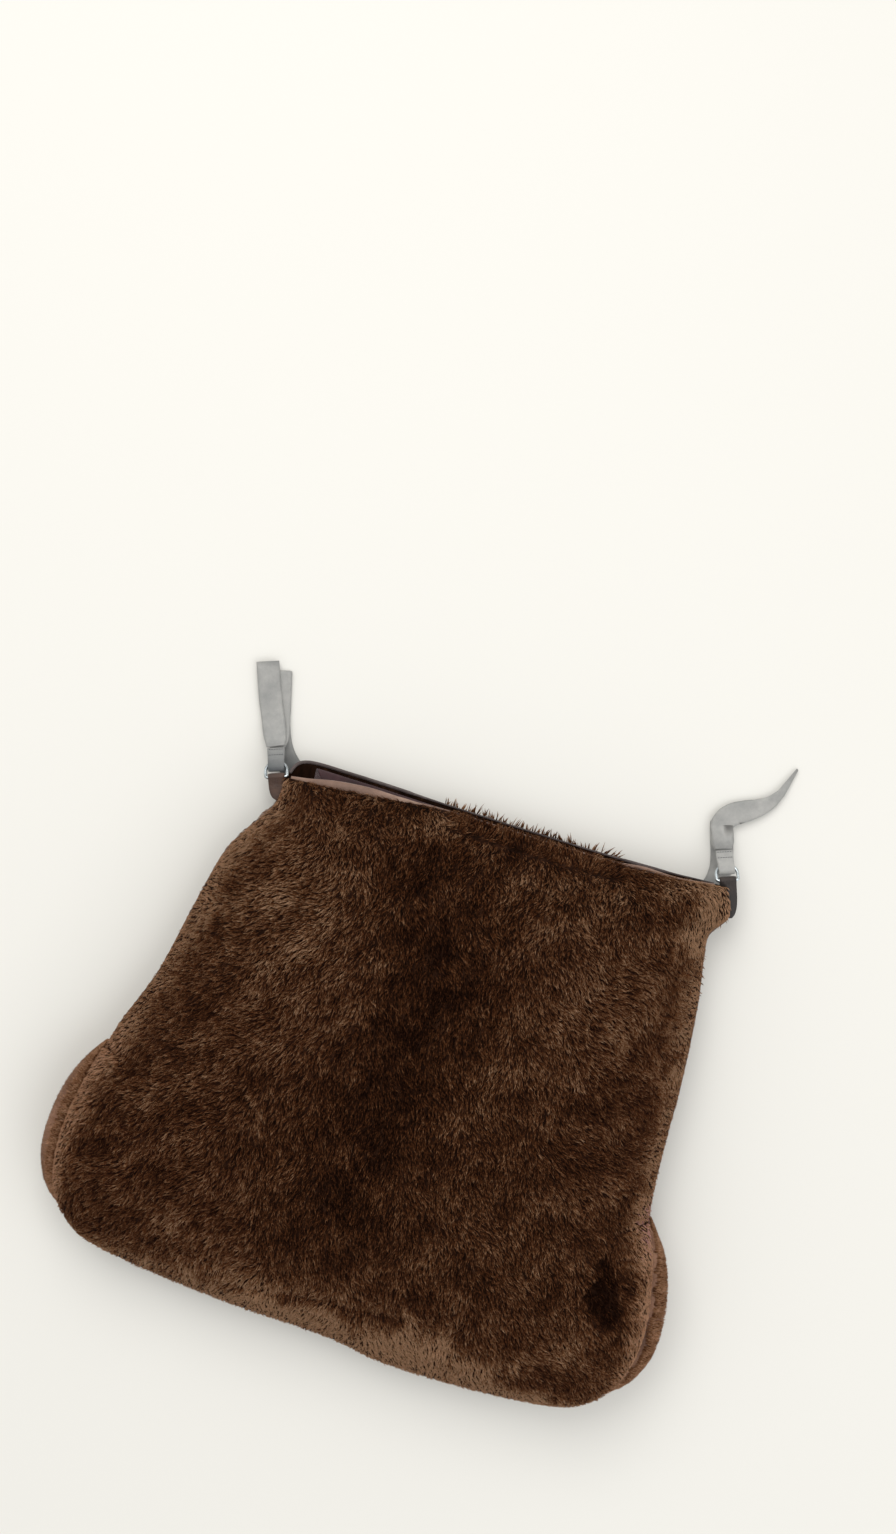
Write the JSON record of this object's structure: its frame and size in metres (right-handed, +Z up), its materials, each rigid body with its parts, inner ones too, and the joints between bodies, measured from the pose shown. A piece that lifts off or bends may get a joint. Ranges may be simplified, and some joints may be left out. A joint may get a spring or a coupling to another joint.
{
  "type": "hand warmer muff",
  "caption": "Fur hand warmer muff: a padded bag with an open hand tunnel across it, a lined pocket above closed by a press stud, and a neck strap on hinged corner rings.",
  "frame": {"origin": "middle of the footprint of the muff without its strap, on the surface that it lies on", "axes": "+X across the width, from hand opening to hand opening; +Y towards the pocket's mouth; +Z up through the front fur"},
  "size_m": [0.386, 0.4154, 0.0709],
  "materials": {
    "fur": "short pile fur",
    "wadding": "quilted fibre fill",
    "satin": "plum lining satin",
    "hide": "smooth tan hide",
    "leather": "black, satin",
    "strap": "woven ribbon",
    "metal": "polished"
  },
  "bodies": {
    "muff": {"fur_front": "fur", "fur_back": "fur", "wadding_front": "wadding", "wadding_back": "wadding", "hand_lining": "satin", "pocket_lining": "satin", "front_lip": "hide", "back_lip": "hide", "left_cuff": "hide", "right_cuff": "hide", "stud_socket": "metal", "stud_ball": "metal", "left_tab": "leather", "right_tab": "leather", "left_strap_run": "strap", "right_strap_run": "strap", "strap_hank": "strap", "hank_tie": "leather"},
    "left_ring_body": {"left_ring": "metal", "left_strap_end": "strap", "left_strap_tail": "strap"},
    "right_ring_body": {"right_ring": "metal", "right_strap_end": "strap", "right_strap_tail": "strap"}
  },
  "joints": [
    {"name": "left_ring_hinge", "type": "hinge", "parent": "muff", "child": "left_ring_body", "pos_m": [-0.1261, 0.1371, 0.02], "axis": [0.9336, 0.3584, 0], "range_deg": [0, 95]},
    {"name": "right_ring_hinge", "type": "hinge", "parent": "muff", "child": "right_ring_body", "pos_m": [0.1529, 0.1596, 0.02], "axis": [0.9336, 0.3584, 0], "range_deg": [0, 95]}
  ]
}
